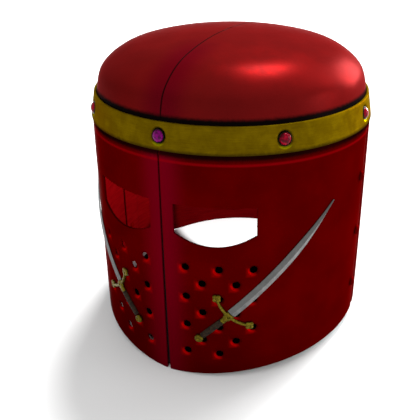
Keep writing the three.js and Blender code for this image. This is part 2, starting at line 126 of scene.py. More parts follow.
def rim_height(degrees, depth=0.0):
    """The table's plane under the leaning helm, arched clear of it at the cheeks."""
    from_front = min(degrees % 360, -degrees % 360)
    along = clamped((from_front - CHIN_FOOT_DEG) / (HEEL_START_DEG - CHIN_FOOT_DEG))
    arch = RIM_LIFT * math.sin(math.pi * along)
    height = arch
    for _ in range(6):
        y = -(barrel_radius(height) - depth) * math.cos(math.radians(degrees))
        height = math.tan(LEAN) * (y + CHIN_RADIUS) + arch
    return height


CHEEK_HEIGHT = 108.5
CHEEK_RADIUS = barrel_radius(CHEEK_HEIGHT)
ARC = math.radians(1) * CHEEK_RADIUS
print("one degree of the wall is", round(ARC, 3), "mm")
print("the rim at the back is at", round(rim_height(180), 2), "mm")


# %% [markdown]
# ## Working in edit mode
# An operator acts on all that is selected, so each helper first clears the selection and then
# selects by place. A round piece is a circle whose rim is extruded and scaled from ring to
# ring, as a turner follows a profile. A wall is worked flat, where holes and insets
# stay simple, and is rolled round the axis afterwards.

# %% Helpers for modelling
def only(piece):
    bpy.ops.object.select_all(action="DESELECT")
    piece.select_set(True)
    bpy.context.view_layer.objects.active = piece
    return piece


def edit(piece):
    only(piece)
    bpy.ops.object.mode_set(mode="EDIT")


def leave():
    bpy.ops.object.mode_set(mode="OBJECT")


def pick(piece, kind, wanted):
    """In edit mode, selects just the faces, edges or verts whose middle passes the test."""
    bpy.ops.mesh.select_all(action="DESELECT")
    bpy.ops.mesh.select_mode(type={"faces": "FACE", "edges": "EDGE", "verts": "VERT"}[kind])
    mesh = bmesh.from_edit_mesh(piece.data)
    for part in getattr(mesh, kind):
        if kind == "faces":
            middle = part.calc_center_median()
        elif kind == "edges":
            middle = (part.verts[0].co + part.verts[1].co) / 2
        else:
            middle = part.co
        if wanted(middle / MM):
            part.select_set(True)
    mesh.select_flush(True)
    bmesh.update_edit_mesh(piece.data)


def mend(piece):
    """Merges doubles and turns the faces outwards, before a wall gets its thickness."""
    edit(piece)
    bpy.ops.mesh.select_all(action="SELECT")
    bpy.ops.mesh.remove_doubles(threshold=0.00001)
    bpy.ops.mesh.normals_make_consistent(inside=False)
    leave()


def finish_with(piece, kind, **settings):
    only(piece)
    modifier = piece.modifiers.new(kind.title(), kind)
    for name, value in settings.items():
        setattr(modifier, name, value)
    bpy.ops.object.modifier_apply(modifier=modifier.name)


def soft_edges(piece, width, angle=50, segments=2):
    finish_with(piece, "BEVEL", width=width * MM, segments=segments, limit_method="ANGLE",
                angle_limit=math.radians(angle), use_clamp_overlap=True)


def smooth(piece, angle=40):
    only(piece)
    bpy.ops.object.shade_smooth_by_angle(angle=math.radians(angle))


def apply_place(piece):
    only(piece)
    bpy.ops.object.transform_apply(location=True, rotation=True, scale=True)
    return piece


def copy_of(piece, name):
    double = piece.copy()
    double.data = piece.data.copy()
    double.name = name
    bpy.context.scene.collection.objects.link(double)
    return double


def mirrored(piece, name):
    """The same piece for the other side, turned outside out again after the mirror."""
    double = copy_of(piece, name)
    double.scale.x = -1
    apply_place(double)
    edit(double)
    bpy.ops.mesh.select_all(action="SELECT")
    bpy.ops.mesh.normals_make_consistent(inside=False)
    leave()
    return double


def joined(pieces, name):
    only(pieces[0])
    for piece in pieces[1:]:
        piece.select_set(True)
    bpy.ops.object.join()
    pieces[0].name = name
    return pieces[0]


def report(piece):
    size = [round(v / MM, 1) for v in piece.dimensions]
    print(piece.name, len(piece.data.polygons), "faces", size, "mm")


# %% Turning a round piece and rolling a flat one
def turned(name, profile, sides, closed_foot=True):
    """Rings of (radius, height) from foot to top; a radius of 0 closes the top to a pole."""
    bpy.ops.object.select_all(action="DESELECT")
    (radius, height), *rings = profile
    bpy.ops.mesh.primitive_circle_add(vertices=sides, radius=radius * MM, location=(0, 0, height * MM))
    piece = apply_place(bpy.context.object)
    piece.name = name
    edit(piece)
    bpy.ops.mesh.select_all(action="SELECT")
    if closed_foot:
        bpy.ops.mesh.extrude_edges_move()
        bpy.ops.mesh.merge(type="CENTER")
        pick(piece, "verts", lambda at: math.hypot(at.x, at.y) > radius / 2)
    for next_radius, next_height in rings:
        bpy.ops.mesh.extrude_edges_move(
            TRANSFORM_OT_translate={"value": (0, 0, (next_height - height) * MM)})
        if next_radius == 0:
            bpy.ops.mesh.merge(type="CENTER")
        else:
            grow = next_radius / radius
            bpy.ops.transform.resize(value=(grow, grow, 1), center_override=(0, 0, 0))
        radius, height = next_radius, next_height
    leave()
    mend(piece)
    return piece


def aimed(piece, degrees, radius, height, tilt=0.0):
    """Turns a piece made about +Z to point out of the wall at this angle and height."""
    out = Matrix.Rotation(math.pi / 2 - tilt, 4, "X")
    step_out = Matrix.Translation(Vector((0, -radius, height)) * MM)
    piece.matrix_world = Matrix.Rotation(math.radians(degrees), 4, "Z") @ step_out @ out
    return apply_place(piece)


def flat_sheet(name, from_deg, to_deg, columns, from_height, to_height, rows):
    """A grid in the XZ plane facing -Y: x is the arc along the wall and z the height."""
    bpy.ops.object.select_all(action="DESELECT")
    middle = ((from_deg + to_deg) / 2 * ARC * MM, 0, (from_height + to_height) / 2 * MM)
    bpy.ops.mesh.primitive_grid_add(x_subdivisions=columns, y_subdivisions=rows, size=1,
                                    location=middle, rotation=(math.pi / 2, 0, 0))
    sheet = bpy.context.object
    sheet.scale = ((to_deg - from_deg) * ARC * MM, (to_height - from_height) * MM, 1)
    sheet.name = name
    return apply_place(sheet)


def extend(sheet, edge_test, step):
    """Extrudes the picked border edges of a flat sheet by a step in millimetres."""
    pick(sheet, "edges", edge_test)
    bpy.ops.mesh.extrude_edges_move(TRANSFORM_OT_translate={"value": Vector(step) * MM})


def rolled(sheet, depth_at=lambda degrees: 0.0, foot=None, foot_rise=0.0):
    """Rolls a flat sheet round the axis; its lowest rows close up on to the arched rim."""
    for point in sheet.data.vertices:
        arc, inward, height = point.co / MM
        degrees = arc / ARC
        depth = depth_at(degrees) + inward
        if foot is not None:
            rim = rim_height(degrees, depth) + foot_rise
            settled = max(FOOT_ROWS_TOP, 2.2 * rim)
            if height < settled:
                height = blend_between(rim, settled, (height - foot) / (settled - foot))
        radius = wall_radius(height) - depth
        angle = math.radians(degrees)
        point.co = Vector((radius * math.sin(angle), -radius * math.cos(angle), height)) * MM
    return sheet


# %% [markdown]
# ## Materials
# Colours are given as sRGB hex values and turned to linear by one function, and one small
# function adds a node with its settings and links. Patterns that follow the wall need the
# helm's own upright millimetres, so Object coordinates are turned back from the lean. The
# Scale of a noise is then one over the size of its blobs in millimetres.

# %% Helpers for materials
SMOOTH = {"interpolation_type": "SMOOTHSTEP"}
COLOURS = {"data_type": "RGBA"}


def linear(hex_colour, alpha=1.0):
    channels = [int(hex_colour[i:i + 2], 16) / 255 for i in (1, 3, 5)]
    return (*[c / 12.92 if c <= 0.04045 else ((c + 0.055) / 1.055) ** 2.4 for c in channels], alpha)


def add(tree, kind, inputs=(), out=0, **settings):
    """Adds a node, sets or links its inputs by socket, and gives back one of its outputs."""
    made = tree.nodes.new("ShaderNode" + kind)
    for name, value in settings.items():
        setattr(made, name, value)
    by_socket = inputs if isinstance(inputs, dict) else dict(enumerate(inputs))
    for socket, value in by_socket.items():
        if isinstance(value, bpy.types.NodeSocket):
            tree.links.new(value, made.inputs[socket])
        else:
            made.inputs[socket].default_value = value
    return made.outputs[out]


def new_material(name, **shader):
    material = bpy.data.materials.new(name)
    material.use_nodes = True
    surface = material.node_tree.nodes["Principled BSDF"]
    for socket, value in shader.items():
        surface.inputs[socket.replace("_", " ")].default_value = value
    return material, material.node_tree, surface


def laid_over(tree, under, over, pattern, low, high, share_low=0.0, share_high=1.0):
    """One colour over another where a pattern rises from low to high."""
    under, over = (linear(c) if isinstance(c, str) else c for c in (under, over))
    share = add(tree, "MapRange", (pattern, low, high, share_low, share_high), **SMOOTH)
    return add(tree, "Mix", {0: share, 6: under, 7: over}, 2, **COLOURS)


def surfaced(tree, surface, colour, height, strength, depth_mm, under=None):
    """Links the colour, and a bump of this depth, on top of a broader one if there is any."""
    tree.links.new(colour, surface.inputs["Base Color"])
    relief = {"Height": height, "Strength": strength, "Distance": depth_mm * MM}
    if under is not None:
        relief["Normal"] = under
    tree.links.new(add(tree, "Bump", relief), surface.inputs["Normal"])


def upright_mm(tree):
    """Object coordinates turned back from the lean: x, y and height in millimetres."""
    coordinates = add(tree, "TexCoord", out="Object")
    return add(tree, "Mapping", {"Vector": coordinates, "Location": upright.translation / MM,
                                 "Rotation": (LEAN, 0, 0), "Scale": (1 / MM,) * 3})


def turn_about(tree, x, y):
    """The angle round the helm's axis from the middle of the face, in radians."""
    forwards = add(tree, "Math", (y, -1), operation="MULTIPLY")
    return add(tree, "Math", (x, forwards), operation="ARCTAN2")


def wall_mm(tree, along):
    """Coordinates rolled off the wall: arc, drawn out by along, and height, in mm."""
    x, y, height = add(tree, "SeparateXYZ", (upright_mm(tree),)).node.outputs
    arc = add(tree, "Math", (turn_about(tree, x, y), CHEEK_RADIUS * along), operation="MULTIPLY")
    return add(tree, "CombineXYZ", (arc, height))


# %% [markdown]
# ### Red vitreous enamel
# Powdered red glass fired on to steel: a deep, slightly uneven red that pools darker in
# places, with a faint orange-peel skin. Black painted shade lies in the corners along the
# band and in the seam's groove on the crown, and the enamel by the front seam is a cooler
# crimson. Two marks on the barrel are painted highlights and not a change in the enamel: a
# bright line below the band, and a crescent in the dish of each breath hole, from the
# attribute dish_edge. They stand for light that a glossy edge catches, so they stay where
# they are when the light moves. Glass has no metal in it, but a small metallic share and no
# specular level keep a pale wash off this deep red.

# %% Enamel
CROWN_LINE_TOP = 234.4
BARREL_LINE_FOOT = 206.9
BRIGHT_LINE = BARREL_LINE_FOOT - 4.6
SEAM_TINT_REACH = 26.0
POOL_MM, SMEAR_MM, HAMMER_MM, PEEL_MM = 34, 9, 28, 1.6


def make_enamel(name, on_crown):
    material, tree, surface = new_material(
        name, Metallic=0.3, Roughness=0.33, Specular_IOR_Level=0.0, Specular_Tint=linear("#b00505"),
        Coat_Weight=0.014 if on_crown else 0.0, Coat_Roughness=0.3)
    at = upright_mm(tree)
    x, y, height = add(tree, "SeparateXYZ", (at,)).node.outputs
    pooling = add(tree, "TexNoise", {0: at, 2: 1 / POOL_MM, 3: 3})
    deep, clear = ("#4e0808", "#540909") if on_crown else ("#3a0000", "#420000")
    red = laid_over(tree, deep, clear, pooling, 0.32, 0.7)
    sideways = add(tree, "Math", (x,), operation="ABSOLUTE")
    near_seam = add(tree, "MapRange", (sideways, 3.0, SEAM_TINT_REACH, 0.8, 0.0), **SMOOTH)
    in_front = add(tree, "MapRange", (y, -30.0, -80.0, 0.0, 1.0), **SMOOTH)
    tint = add(tree, "Math", (near_seam, in_front), operation="MULTIPLY")
    crimson = linear("#48000a" if on_crown else "#56000e")
    red = add(tree, "Mix", {0: tint, 6: red, 7: crimson}, 2, **COLOURS)
    blobs = add(tree, "TexNoise", {0: at, 2: 1 / 2.5})
    ragged = add(tree, "Math", (blobs, 1.4, -0.7), operation="MULTIPLY_ADD")
    level = add(tree, "Math", (height, ragged), operation="ADD")
    # Painted shade: the enamel is painted black along the band's edges, and on the crown in the seam's
    # groove.
    if on_crown:
        foot, top = CROWN_LINE_TOP - 1.6, CROWN_LINE_TOP + 2.0
        along_band = add(tree, "MapRange", (level, foot, top, 1.0, 0.0), **SMOOTH)
        in_groove = add(tree, "MapRange", (sideways, 0.35, 0.9, 0.85, 0.0), **SMOOTH)
        painted_shade = add(tree, "Math", (along_band, in_groove), operation="MAXIMUM")
    else:
        foot, top = BARREL_LINE_FOOT - 3.4, BARREL_LINE_FOOT + 0.8
        painted_shade = add(tree, "MapRange", (level, foot, top, 0.0, 0.9), **SMOOTH)
        above_line = add(tree, "Math", (height, BRIGHT_LINE), operation="SUBTRACT")
        off_line = add(tree, "Math", (above_line,), operation="ABSOLUTE")
        red = laid_over(tree, red, "#6e0006", off_line, 0.3, 1.7, 0.55, 0.0)
        dish = add(tree, "Attribute", out="Fac", attribute_name="dish_edge")
        red = add(tree, "Mix", {0: dish, 6: red, 7: linear("#860000")}, 2, **COLOURS)
    colour = add(tree, "Mix", {0: painted_shade, 6: red, 7: linear("#050202")}, 2, **COLOURS)
    smears = add(tree, "TexNoise", {0: at, 2: 1 / SMEAR_MM, 3: 4, 4: 0.65})
    gloss = add(tree, "MapRange", (smears, 0.3, 0.75, 0.28, 0.36), **SMOOTH)
    tree.links.new(gloss, surface.inputs["Roughness"])
    broad = add(tree, "TexNoise", {0: at, 2: 1 / HAMMER_MM, 3: 1})
    hammered = add(tree, "Bump", {"Height": broad, "Strength": 0.25, "Distance": MM})
    peel = add(tree, "TexNoise", {0: at, 2: 1 / PEEL_MM})
    surfaced(tree, surface, colour, peel, 0.06, 0.3, hammered)
    return material


enamel_crown = make_enamel("Red vitreous enamel on the crown", True)
enamel_barrel = make_enamel("Red vitreous enamel on the barrel", False)

# %% [markdown]
# ### Red oxide paint
# The inside of the plates never shows a polish: it is brushed with red oxide paint against
# rust, so it is dull and even, with faint brush marks round the helm.

# %% Paint inside the plates
def make_paint():
    material, tree, surface = new_material("Red oxide paint", Metallic=0.0, Roughness=0.85,
                                           Specular_IOR_Level=0.0)
    strokes = add(tree, "TexNoise", {0: wall_mm(tree, 0.06), 2: 1 / 1.5, 3: 3})
    red = laid_over(tree, "#340001", "#400102", strokes, 0.3, 0.7)
    surfaced(tree, surface, red, strokes, 0.2, 0.2)
    return material


inside_paint = make_paint()

# %% [markdown]
# ### Metals, stones and leather
# The band is fire-gilt brass, brushed round the helm and left to dull. Its foot is painted
# darker, as painted shade along its lower edge. A crescent below each setting is a painted
# highlight, for the light that the burnished side of its dish catches, and stays when the
# light moves. Real gilding is all metal: here the metallic share and the specular level are
# low, so that the surround doesn't wash it out. The settings are silver blackened with
# sulphur. The stones are foil-backed glass cabochons. The swords have ground steel blades,
# cast brass hilts and grips wound with leather; one bevel of each blade is painted darker,
# as painted shade.

# %% Gilt brass of the band
def make_gilt():
    material, tree, surface = new_material(
        "Brushed gilt brass", Metallic=0.3, Roughness=0.42, Specular_IOR_Level=0.0,
        Specular_Tint=linear("#c8a818"))
    brushed = add(tree, "TexNoise", {0: wall_mm(tree, 0.03), 2: 1 / 0.5, 3: 3})
    at = upright_mm(tree)
    x, y, height = add(tree, "SeparateXYZ", (at,)).node.outputs
    dulled = add(tree, "TexNoise", {0: at, 2: 1 / 12, 3: 4, 4: 0.6})
    gold = laid_over(tree, "#4d3c01", "#5d4b02", dulled, 0.35, 0.7)
    gold = laid_over(tree, gold, "#342601", brushed, 0.3, 0.75, 0.0, 0.35)
    # Painted shade: the band's foot is painted darker along its lower edge.
    blobs = add(tree, "TexNoise", {0: at, 2: 1 / 3})
    ragged = add(tree, "Math", (blobs, 1.2, -0.6), operation="MULTIPLY_ADD")
    level = add(tree, "Math", (height, ragged), operation="ADD")
    gold = laid_over(tree, gold, "#241b03", level, BAND_FOOT + 0.3, BAND_FOOT + 3.0, 0.85, 0.0)
    # A painted highlight: a crescent of brighter gold in each dish, below its setting.
    turn = turn_about(tree, add(tree, "Math", (x,), operation="ABSOLUTE"), y)
    from_nearest = add(tree, "Math", (turn, math.pi / 8), operation="PINGPONG")
    aside = add(tree, "Math", (from_nearest, CHEEK_RADIUS), operation="MULTIPLY")
    below = add(tree, "Math", (BAND_MIDDLE, height), operation="SUBTRACT")
    squares = [add(tree, "Math", (side, 2.0), operation="POWER") for side in (aside, below)]
    squared = add(tree, "Math", squares, operation="ADD")
    from_setting = add(tree, "Math", (squared,), operation="SQRT")
    in_dish = add(tree, "MapRange", (from_setting, 7.9, 6.6, 0.0, 1.0), **SMOOTH)
    under_setting = add(tree, "MapRange", (below, 4.0, 6.2, 0.0, 1.0), **SMOOTH)
    setting_highlight = add(tree, "Math", (in_dish, under_setting), operation="MULTIPLY")
    gold = add(tree, "Mix", {0: setting_highlight, 6: gold, 7: linear("#767200")}, 2, **COLOURS)
    gloss = add(tree, "MapRange", (dulled, 0.3, 0.7, 0.36, 0.52), **SMOOTH)
    tree.links.new(gloss, surface.inputs["Roughness"])
    surfaced(tree, surface, gold, brushed, 0.25, 0.1)
    return material


gilt = make_gilt()


# %% Blackened silver, and the dark steel of the strap
def make_dark_metal(name, deep, worn, grain_mm, roughness):
    material, tree, surface = new_material(name, Metallic=0.85, Roughness=roughness)
    grain = add(tree, "TexNoise", {0: upright_mm(tree), 2: 1 / grain_mm, 3: 4, 4: 0.6})
    surfaced(tree, surface, laid_over(tree, deep, worn, grain, 0.4, 0.75), grain, 0.3, 0.15)
    return material


blackened = make_dark_metal("Silver blackened with sulphur", "#0b0904", "#2a2009", 1.2, 0.5)
forged = make_dark_metal("Blackened forged steel", "#060505", "#171312", 2.5, 0.6)


# %% Foil-backed glass stones
def make_stone(name, deep, bright):
    """Coloured glass over crumpled foil: bright where the foil shows and deep between."""
    material, tree, surface = new_material(name, Metallic=0.0, Roughness=0.12,
                                           Specular_IOR_Level=0.06)
    at = upright_mm(tree)
    clouds = add(tree, "TexNoise", {0: at, 2: 1 / 3.5})
    ripple = add(tree, "TexNoise", {0: at, 2: 1 / 2.2})
    surfaced(tree, surface, laid_over(tree, deep, bright, clouds, 0.38, 0.62), ripple, 0.05, 0.2)
    return material


magenta_glass = make_stone("Magenta glass over foil", "#38002e", "#640054")
red_glass = make_stone("Ruby glass over foil", "#40000a", "#7c0018")


# %% Sword steel, hilt brass and leather
SWORD_HUB_ARC = 55.7
SWORD_HUB_HEIGHT = 68.8
SWORD_ANGLE = math.radians(44.7)


def sword_mm(tree):
    """Coordinates laid along the sword: x towards the tip and y across, in mm."""
    x, y, height = add(tree, "SeparateXYZ", (upright_mm(tree),)).node.outputs
    turn = turn_about(tree, add(tree, "Math", (x,), operation="ABSOLUTE"), y)
    arc = add(tree, "Math", (turn, CHEEK_RADIUS, -SWORD_HUB_ARC), operation="MULTIPLY_ADD")
    rise = add(tree, "Math", (height, SWORD_HUB_HEIGHT), operation="SUBTRACT")
    flat = add(tree, "CombineXYZ", (arc, rise))
    return add(tree, "Mapping", {"Vector": flat, "Rotation": (0, 0, -SWORD_ANGLE)})


def make_sword_steel():
    material, tree, surface = new_material("Ground sword steel", Metallic=1.0, Roughness=0.38)
    along = sword_mm(tree)
    lines = add(tree, "Mapping", {"Vector": along, "Scale": (0.04, 1, 1)})
    ground = add(tree, "TexNoise", {0: lines, 2: 1 / 0.35, 3: 3})
    stains = add(tree, "TexNoise", {0: along, 2: 1 / 7, 3: 4, 4: 0.6})
    across = add(tree, "SeparateXYZ", (along,), 1)
    steel = laid_over(tree, "#5c5c5c", "#707070", stains, 0.35, 0.7)
    # Painted shade: one side of the blade, across its ridge, is painted darker.
    steel = laid_over(tree, steel, "#464645", across, -0.15, 0.25, 0.0, 0.7)
    steel = laid_over(tree, steel, "#4e4d4b", ground, 0.35, 0.7, 0.0, 0.3)
    surfaced(tree, surface, steel, ground, 0.2, 0.06)
    return material


def make_hilt_brass():
    material, tree, surface = new_material("Cast hilt brass", Metallic=1.0, Roughness=0.48)
    at = upright_mm(tree)
    mottle = add(tree, "TexNoise", {0: at, 2: 1 / 1.8, 3: 4, 4: 0.6})
    cast = add(tree, "TexNoise", {0: at, 2: 1 / 0.5})
    brass = laid_over(tree, "#463c0b", "#625818", mottle, 0.35, 0.7)
    surfaced(tree, surface, brass, cast, 0.25, 0.08)
    return material


def make_leather():
    material, tree, surface = new_material("Wound goatskin leather", Roughness=0.7,
                                           Specular_IOR_Level=0.1)
    along = sword_mm(tree)
    grain = add(tree, "TexVoronoi", {"Vector": along, "Scale": 1 / 0.5})
    rubbed = add(tree, "TexNoise", {0: along, 2: 1 / 3, 3: 3})
    hide = laid_over(tree, "#140d08", "#2a1e11", rubbed, 0.35, 0.7)
    surfaced(tree, surface, hide, grain, 0.35, 0.12)
    return material


sword_steel = make_sword_steel()
hilt_brass = make_hilt_brass()
leather = make_leather()
print("materials:", [m.name for m in bpy.data.materials if m.users])

# %% [markdown]
# ## The crown
# A dome raised from sheet steel: a skirt that passes down inside the barrel, a small joggle
# outwards over the barrel's top edge, and the dome itself, drawn in to nothing at the apex.
# It is turned ring by ring. A fine brazed seam runs over it from front to back, so
# the dome is cut in planes at and beside the middle, and the middle line is pressed in.

# %% Crown
CROWN_PLATE = 1.6
SKIRT_FOOT = 213.5
JOGGLE_FOOT = 227.0
CROWN_OUTLINE = [(118.2, 229.8), (111.9, 249.2), (92.6, 264.0), (67.5, 271.6), (34.0, 276.4),
                 (0.0, 277.8)]
CROWN_RINGS = 34


def outline_point(points, t):
    """A smooth curve through the points, t running from 0 at the first to 1 at the last."""
    last = len(points) - 1
    first = min(int(t * last), last - 1)
    w = t * last - first
    a, b, c, d = (points[clamped(first + i, 0, last)] for i in (-1, 0, 1, 2))
    curve = []
    for p0, p1, p2, p3 in zip(a, b, c, d):
        v0 = (p2 - p0) / 2
        v1 = (p3 - p1) / 2
        cubed = (2 * p1 - 2 * p2 + v0 + v1) * w ** 3
        squared = (-3 * p1 + 3 * p2 - 2 * v0 - v1) * w ** 2
        curve.append(cubed + squared + v0 * w + p1)
    return tuple(curve)


dome = [outline_point(CROWN_OUTLINE, i / CROWN_RINGS) for i in range(CROWN_RINGS)]
skirt = [(skirt_outer(h), h) for h in (SKIRT_FOOT, 220.0, JOGGLE_FOOT)]
crown = turned("enamelled_crown", [*skirt, *dome, (0, CROWN_OUTLINE[-1][1])], 180, closed_foot=False)

SEAM_HALF_WIDTH = 0.45
SEAM_DEPTH = 0.4
edit(crown)
for plane_x in (-SEAM_HALF_WIDTH, 0.0, SEAM_HALF_WIDTH):
    bpy.ops.mesh.select_all(action="SELECT")
    bpy.ops.mesh.bisect(plane_co=(plane_x * MM, 0, 0), plane_no=(1, 0, 0), threshold=0.00001)
pick(crown, "verts", lambda at: abs(at.x) < 0.02 and at.z > CROWN_OUTLINE[0][1] + 1)
bpy.ops.transform.shrink_fatten(value=-SEAM_DEPTH * MM)
leave()
finish_with(crown, "SOLIDIFY", thickness=CROWN_PLATE * MM, offset=-1)
smooth(crown, 32)
report(crown)

# %% [markdown]
# ## The front plates
# Each front plate is sheet steel, rolled to the barrel's curve, with a sight opening and
# a field of breath holes that were punched from outside, so each lies in a small dish.
# The plate is a flat grid whose lines fall on the centres of the holes. Grid points near
# the sight slide on to its outline, and each hole is a block of faces made one, rounded,
# and inset downwards. The right plate is the mirror of the left. Each dish is marked
# where it faces the seam and the chin, and a painted highlight brightens the enamel there.

# %% Front plate, worked flat
BREATH_FIRST_DEG = 8.8
BREATH_STEP_DEG = 6.43
BREATH_TOP = 112.7
BREATH_PITCH = 14.3
BREATH_COLUMNS = [[0, 2, 4, 6], [1, 3, 5], [0, 2, 4, 6], [1, 3, 5], [0, 2, 4]]
CELLS = 4
CELL_DEG = BREATH_STEP_DEG / CELLS
CELL_HEIGHT = BREATH_PITCH / CELLS
FIRST_COLUMN_DEG = BREATH_FIRST_DEG - 5 * CELL_DEG
ROWS_BELOW, ROWS_ABOVE = 31, 26
PLATE_COLUMNS = 57
FOOT_ROW = BREATH_TOP - ROWS_BELOW * CELL_HEIGHT
TOP_ROW = BREATH_TOP + ROWS_ABOVE * CELL_HEIGHT
FOOT_ROWS_TOP = BREATH_TOP - 26 * CELL_HEIGHT
LAP_END_DEG = 93.2
SEAM_TOP_GAP, SEAM_CHIN_GAP = 1.3, 3.2


NECK_BEND_TOP = 212.5


def add_neck_rows(sheet):
    """The wall's top edge turns in and runs up under the band."""
    top = TOP_ROW
    for level in (SHOULDER_HEIGHT, NECK_FOOT, NECK_BEND_TOP, NECK_TOP):
        extend(sheet, lambda at, top=top: at.z > top - 0.01, (0, 0, level - top))
        top = level


last_column = FIRST_COLUMN_DEG + PLATE_COLUMNS * CELL_DEG
front_left = flat_sheet("cheek_plate_left", FIRST_COLUMN_DEG, last_column, PLATE_COLUMNS,
                        FOOT_ROW, TOP_ROW, ROWS_BELOW + ROWS_ABOVE)
edit(front_left)
extend(front_left, lambda at: at.x > last_column * ARC - 0.01, ((LAP_END_DEG - last_column) * ARC, 0, 0))
add_neck_rows(front_left)
leave()
for point in front_left.data.vertices:
    if point.co.x < (FIRST_COLUMN_DEG * ARC + 0.01) * MM:
        height = point.co.z / MM
        gap = blend_between(SEAM_CHIN_GAP, SEAM_TOP_GAP, height / SHOULDER_HEIGHT)
        point.co.x = gap / 2 * CHEEK_RADIUS / wall_radius(height) * MM
report(front_left)

# %% Sight opening
SIGHT_INNER_DEG, SIGHT_OUTER_DEG = 4.9, 35.6
SIGHT_TOP = 168.0
SIGHT_INNER_FOOT, SIGHT_OUTER_FOOT = 142.6, 143.6
SIGHT_BELLY = 133.5
SIGHT_MIDDLE = (SIGHT_INNER_DEG + SIGHT_OUTER_DEG) / 2


def sight_foot(degrees):
    """The lower edge, a parabola seen straight along the middle of the opening."""
    reach = math.sin(math.radians(SIGHT_OUTER_DEG - SIGHT_MIDDLE))
    s = (math.sin(math.radians(degrees - SIGHT_MIDDLE)) / reach + 1) / 2
    control = 2 * SIGHT_BELLY - (SIGHT_INNER_FOOT + SIGHT_OUTER_FOOT) / 2
    return (1 - s) ** 2 * SIGHT_INNER_FOOT + 2 * s * (1 - s) * control + s ** 2 * SIGHT_OUTER_FOOT


def in_sight(degrees, height, slack=0.0):
    across = SIGHT_INNER_DEG - slack / ARC < degrees < SIGHT_OUTER_DEG + slack / ARC
    return across and sight_foot(degrees) - slack < height < SIGHT_TOP + slack


half_cell = CELL_HEIGHT / 2
for point in front_left.data.vertices:
    degrees, height = point.co.x / MM / ARC, point.co.z / MM
    for side in (SIGHT_INNER_DEG, SIGHT_OUTER_DEG):
        in_height = sight_foot(side) - half_cell < height < SIGHT_TOP + half_cell
        if abs(degrees - side) < CELL_DEG / 2 and in_height:
            degrees = side
    if SIGHT_INNER_DEG - 0.01 < degrees < SIGHT_OUTER_DEG + 0.01:
        for edge in (sight_foot(degrees), SIGHT_TOP):
            if abs(height - edge) <= half_cell:
                height = edge
    point.co.x, point.co.z = degrees * ARC * MM, height * MM


def on_sight_foot(at):
    across = SIGHT_INNER_DEG - 0.01 < at.x / ARC < SIGHT_OUTER_DEG + 0.01
    return across and abs(at.z - sight_foot(at.x / ARC)) < 0.02


edit(front_left)
pick(front_left, "verts", on_sight_foot)
bpy.ops.mesh.vert_connect()
pick(front_left, "faces", lambda at: in_sight(at.x / ARC, at.z))
bpy.ops.mesh.delete(type="FACE")
leave()
report(front_left)

# %% Breath holes
MOUTH_RADIUS = 5.1
DISH_STEPS = [(0.35, 0.1), (0.5, 0.3), (0.55, 0.45), (0.45, 0.5)]


def round_off(sheet, centre, radius):
    """The picked face gets twice the corners and becomes a circle of this radius."""
    bpy.ops.mesh.subdivide(number_cuts=1)
    bpy.ops.mesh.dissolve_faces()
    bpy.ops.transform.tosphere(value=1.0)
    mesh = bmesh.from_edit_mesh(sheet.data)
    face = next(f for f in mesh.faces if f.select)
    now = sum((v.co - face.calc_center_median()).length for v in face.verts) / len(face.verts)
    grow = radius * MM / now
    bpy.ops.transform.resize(value=(grow, 1, grow), center_override=Vector(centre) * MM)


def punch(sheet, degrees, height):
    """A dished round hole, from the block of grid faces about its centre."""
    arc = degrees * ARC
    reach_x, reach_z = 2 * CELL_DEG * ARC, 2 * CELL_HEIGHT
    pick(sheet, "faces", lambda at: abs(at.x - arc) < reach_x and abs(at.z - height) < reach_z)
    bpy.ops.mesh.inset(thickness=1.2 * MM)
    bpy.ops.mesh.dissolve_faces()
    round_off(sheet, (arc, 0, height), MOUTH_RADIUS)
    for inward, down in DISH_STEPS:
        bpy.ops.mesh.inset(thickness=inward * MM, depth=-down * MM)
    bpy.ops.mesh.delete(type="FACE")


edit(front_left)
for column, rows in enumerate(BREATH_COLUMNS):
    for row in rows:
        punch(front_left, BREATH_FIRST_DEG + BREATH_STEP_DEG * column, BREATH_TOP - BREATH_PITCH * row)
leave()
report(front_left)

# %% Roll the plate, give it its thickness and mirror it
rolled(front_left, foot=FOOT_ROW)
finish_with(front_left, "SOLIDIFY", thickness=PLATE * MM, offset=-1)
soft_edges(front_left, 0.35)
smooth(front_left)
front_right = mirrored(front_left, "cheek_plate_right")
report(front_left)


# %% Mark the dishes for their painted crescents
DISH_MARK_RADIUS = MOUTH_RADIUS + 0.4


def mark_dish_edges(plate):
    """Writes the painted highlight of each dish: 1 at its side towards the seam and the chin."""
    holes = [(BREATH_FIRST_DEG + BREATH_STEP_DEG * column, BREATH_TOP - BREATH_PITCH * row)
             for column, rows in enumerate(BREATH_COLUMNS) for row in rows]
    edge = plate.data.attributes.new("dish_edge", "FLOAT", "POINT")
    for point in plate.data.vertices:
        x, y, height = point.co / MM
        degrees = math.degrees(math.atan2(abs(x), -y))
        brightest = 0.0
        for hole_degrees, hole_height in holes:
            aside, up = (degrees - hole_degrees) * ARC, height - hole_height
            away = math.hypot(aside, up)
            if away < DISH_MARK_RADIUS:
                facing = clamped(-(aside + up) / max(away, 0.1) * 0.9 - 0.1)
                brightest = max(brightest, facing * (0.4 if away > DISH_MARK_RADIUS - 0.6 else 1.0))
        edge.data[point.index].value = brightest


for plate in (front_left, front_right):
    mark_dish_edges(plate)

# %% [markdown]
# ## The back plate and the strap
# One plate closes the whole back. Its front edges step in by the thickness of the metal and
# pass under the front plates, where the side rivets hold them. Behind the gap between the
# front plates lies a flat strap of blackened steel. Both are flat sheets, rolled.

# %% Back plate
TONGUE_START_DEG, TONGUE_END_DEG, JOGGLE_END_DEG = 85.5, 94.0, 96.6
JOGGLE_STEPS = (0.65, 1.3, 0.65)
TONGUE_COLUMNS = 4
BACK_COLUMNS = 112
STEP_IN = PLATE + FIT_GAP


def tongue_depth(degrees):
    from_front = min(degrees, 360 - degrees)
    return STEP_IN * (1 - clamped((from_front - TONGUE_END_DEG) / (JOGGLE_END_DEG - TONGUE_END_DEG)))


